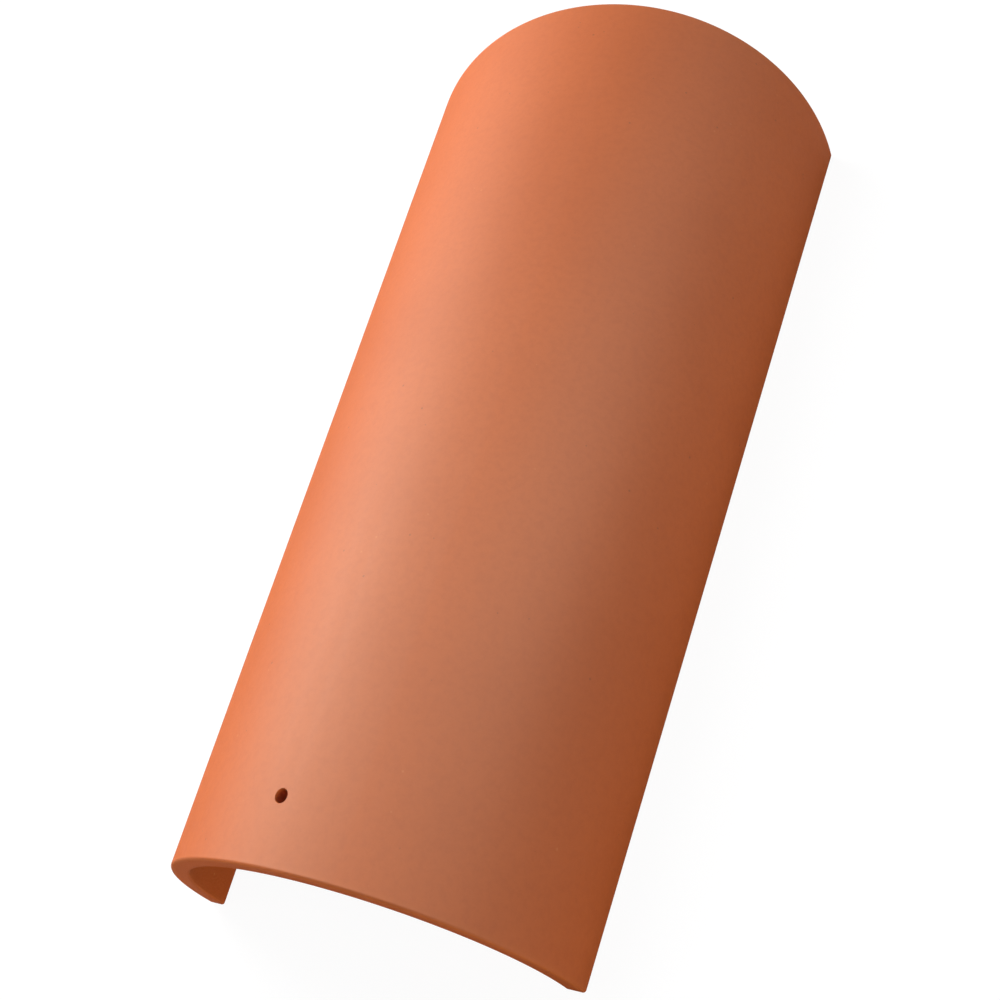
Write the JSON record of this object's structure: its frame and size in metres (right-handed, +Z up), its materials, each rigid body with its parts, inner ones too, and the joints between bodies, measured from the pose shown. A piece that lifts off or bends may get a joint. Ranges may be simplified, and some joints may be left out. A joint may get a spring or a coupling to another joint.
{
  "type": "barrel roof tile",
  "caption": "Tapered half-round clay roof tile with a nail hole through its crown near the narrow end.",
  "frame": {"origin": "on the plane of the feet, halfway along and halfway across the tile", "axes": "+Y from the narrow end to the wide end, +Z up from the feet to the crown, +X across the tile"},
  "size_m": [0.2418, 0.45, 0.1184],
  "materials": {
    "fired_clay": "matt fired terracotta"
  },
  "bodies": {
    "root": {"barrel_tile": "fired_clay"}
  },
  "joints": []
}
